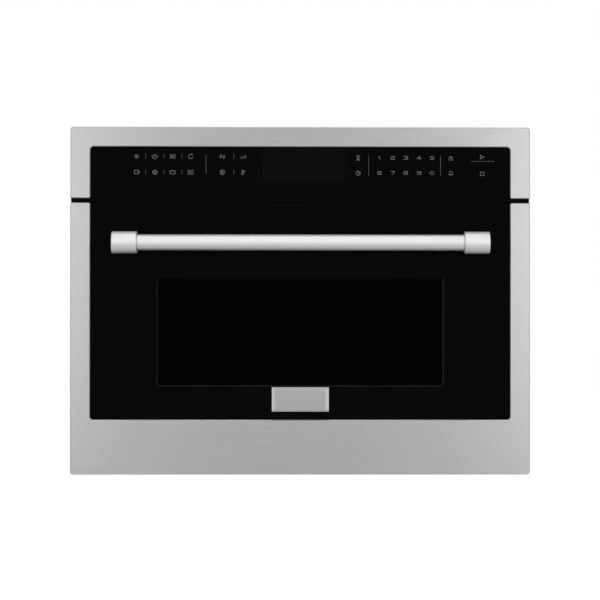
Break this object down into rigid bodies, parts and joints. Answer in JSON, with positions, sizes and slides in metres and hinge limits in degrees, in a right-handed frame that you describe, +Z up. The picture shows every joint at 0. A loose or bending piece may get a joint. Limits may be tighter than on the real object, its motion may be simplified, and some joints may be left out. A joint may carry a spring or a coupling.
{
  "type": "built-in convection microwave",
  "caption": "Built-in convection microwave with a steel-framed black glass front, a touch panel, a bar handle and a drop-down door.",
  "frame": {"origin": "middle of the chassis footprint, on the shelf that the oven stands on", "axes": "+X to the user's right, +Y from the front to the back, +Z up"},
  "size_m": [0.606, 0.5743, 0.46],
  "materials": {
    "brushed_stainless": "brushed along the width",
    "black_glass": "gloss, black printed back",
    "clear_glass": "clear",
    "black_enamel": "satin black enamel",
    "grey_enamel": "satin grey enamel",
    "cavity_stainless": "satin stainless",
    "galvanised_steel": "galvanised sheet",
    "zinc_steel": "zinc plated",
    "laminated_iron": "varnished laminations",
    "motor_steel": "painted steel",
    "heater_alloy": "oxidised sheath",
    "copper_winding": "varnished copper",
    "aluminium": "mill finish",
    "black_plastic": "moulded, fine texture",
    "grey_plastic": "moulded, satin",
    "white_plastic": "moulded, satin",
    "circuit_board": "solder mask",
    "mica": "mica sheet",
    "rubber": "moulded rubber"
  },
  "bodies": {
    "chassis": {"base_plate": "galvanised_steel", "blower_motor": "motor_steel", "blower_scroll": "grey_plastic", "cabinet_wrap": "galvanised_steel", "cable_gland": "rubber", "capacitor": "aluminium", "catch_boxes": "white_plastic", "cavity_back": "cavity_stainless", "cavity_floor": "cavity_stainless", "cavity_wrap": "cavity_stainless", "control_board": "circuit_board", "control_carrier": "black_plastic", "control_frame": "brushed_stainless", "control_glass": "black_glass", "display_module": "grey_plastic", "fan_duct": "galvanised_steel", "fan_guard": "cavity_stainless", "fan_motor": "motor_steel", "front_plate": "black_enamel", "heater_ring": "heater_alloy", "hinge_brackets": "galvanised_steel", "hinge_claws": "zinc_steel", "interlock_switches": "black_plastic", "lamp_box": "galvanised_steel", "lamp_bulb": "clear_glass", "magnetron_core": "aluminium", "magnetron_yoke": "galvanised_steel", "rear_panel": "galvanised_steel", "terminal_block": "white_plastic", "thermostats": "zinc_steel", "transformer_coils": "copper_winding", "transformer_core": "laminated_iron", "turntable_motor": "motor_steel", "waveguide": "galvanised_steel", "waveguide_cover": "mica"},
    "door": {"door_frame": "brushed_stainless", "door_glass": "black_glass", "door_pan": "grey_enamel", "rf_screen": "black_enamel", "inner_glass": "clear_glass", "choke_cover": "black_plastic", "door_top_trim": "black_plastic", "handle_bar": "brushed_stainless", "handle_post_left": "brushed_stainless", "handle_post_right": "brushed_stainless", "handle_screws": "zinc_steel", "plaque": "brushed_stainless", "hinge_channels": "zinc_steel", "hinge_pins": "zinc_steel", "hinge_springs": "zinc_steel"},
    "latch": {"latch_bar": "white_plastic"},
    "interlock": {"interlock_levers": "white_plastic"},
    "turntable": {"turntable_tray": "clear_glass", "turntable_coupler": "white_plastic"},
    "roller_carrier": {"roller_ring": "white_plastic"},
    "roller_a": {"roller_1": "white_plastic"},
    "roller_b": {"roller_2": "white_plastic"},
    "roller_c": {"roller_3": "white_plastic"},
    "fan": {"convection_fan": "aluminium"},
    "blower": {"blower_wheel": "grey_plastic"}
  },
  "joints": [
    {"name": "door_hinge", "type": "hinge", "parent": "chassis", "child": "door", "pos_m": [0, -0.251, 0.008], "axis": [1, 0, 0], "range_deg": [0, 90], "stiffness_Nm_per_rad": 5, "springref_deg": -34.38},
    {"name": "latch_lift", "type": "hinge", "parent": "door", "child": "latch", "pos_m": [0, -0.254, 0.345], "axis": [1, 0, 0], "range_deg": [0, 9], "stiffness_Nm_per_rad": 0.4, "springref_deg": -11.46},
    {"name": "interlock_swing", "type": "hinge", "parent": "chassis", "child": "interlock", "pos_m": [0, -0.21485, 0.356], "axis": [1, 0, 0], "range_deg": [-6, 0]},
    {"name": "turntable_spin", "type": "hinge", "parent": "chassis", "child": "turntable", "pos_m": [0, -0.0395, 0.09], "axis": [0, 0, 1], "continuous": true},
    {"name": "roller_carrier_spin", "type": "hinge", "parent": "chassis", "child": "roller_carrier", "pos_m": [0, -0.0395, 0.082], "axis": [0, 0, 1], "continuous": true},
    {"name": "roller_a_spin", "type": "hinge", "parent": "roller_carrier", "child": "roller_a", "pos_m": [0.126, -0.0395, 0.082], "axis": [1, 0, 0], "continuous": true},
    {"name": "roller_b_spin", "type": "hinge", "parent": "roller_carrier", "child": "roller_b", "pos_m": [-0.063, 0.06962, 0.082], "axis": [-0.5, 0.866, 0], "continuous": true},
    {"name": "roller_c_spin", "type": "hinge", "parent": "roller_carrier", "child": "roller_c", "pos_m": [-0.063, -0.14862, 0.082], "axis": [-0.5, -0.866, 0], "continuous": true},
    {"name": "convection_fan_spin", "type": "hinge", "parent": "chassis", "child": "fan", "pos_m": [0, 0.1835, 0.194], "axis": [0, 1, 0], "continuous": true},
    {"name": "blower_spin", "type": "hinge", "parent": "chassis", "child": "blower", "pos_m": [0.092, -0.032, 0.38], "axis": [0, 0, 1], "continuous": true}
  ],
  "couplings": [
    {"joint": "interlock_swing", "follows": "door_hinge", "ratio": -0.0666},
    {"joint": "roller_carrier_spin", "follows": "turntable_spin", "ratio": 0.5},
    {"joint": "roller_a_spin", "follows": "turntable_spin", "ratio": -8.1818},
    {"joint": "roller_b_spin", "follows": "turntable_spin", "ratio": -8.1818},
    {"joint": "roller_c_spin", "follows": "turntable_spin", "ratio": -8.1818}
  ]
}
